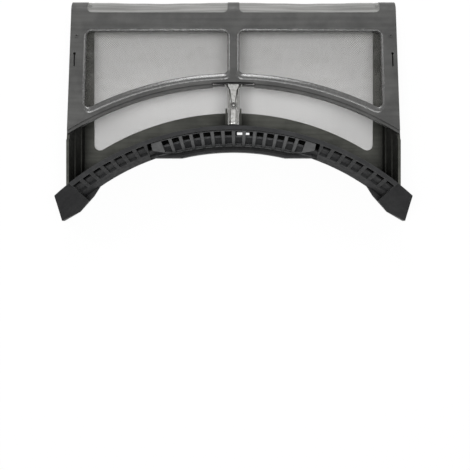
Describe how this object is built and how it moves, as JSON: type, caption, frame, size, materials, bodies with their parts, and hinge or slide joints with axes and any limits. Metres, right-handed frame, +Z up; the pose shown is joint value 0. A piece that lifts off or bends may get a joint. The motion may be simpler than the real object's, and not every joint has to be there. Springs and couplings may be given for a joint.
{
  "type": "tumble dryer lint filter",
  "caption": "Wedge-shaped lint filter with mesh windows, a hinged cover, a curved grille bar with a grip, and a catch strap across its mouth.",
  "frame": {"origin": "on the ground below the middle of the filter, which lies on its back", "axes": "+X along the grille bar, +Y from the bar to the rounded nose, +Z up, from the back to the cover"},
  "size_m": [0.319, 0.2024, 0.0436],
  "materials": {
    "rear_plastic": "moulded satin olive-grey",
    "bar_plastic": "moulded satin dark grey",
    "grip_plastic": "moulded satin grey",
    "cover_plastic": "moulded satin grey",
    "cloth": "fine woven polyester mesh",
    "nose_cloth": "fine woven polyester mesh",
    "strap_steel": "stamped bright strip"
  },
  "bodies": {
    "back_half": {"rear_frame": "rear_plastic", "rear_mesh_left": "cloth", "rear_mesh_right": "cloth", "grille_bar": "bar_plastic", "grip_insert": "grip_plastic"},
    "cover": {"front_frame": "cover_plastic", "front_mesh_left": "cloth", "front_mesh_right": "cloth", "nose_mesh_left": "nose_cloth", "nose_mesh_right": "nose_cloth"},
    "catch": {"catch_strap": "strap_steel"}
  },
  "joints": [
    {"name": "cover_hinge", "type": "hinge", "parent": "back_half", "child": "cover", "pos_m": [0, 0.0942, 0.0042], "axis": [-1, 0, 0], "range_deg": [0, 110]},
    {"name": "catch_hinge", "type": "hinge", "parent": "cover", "child": "catch", "pos_m": [0, 0.022, 0.035], "axis": [-1, 0, 0], "range_deg": [0, 9]}
  ]
}
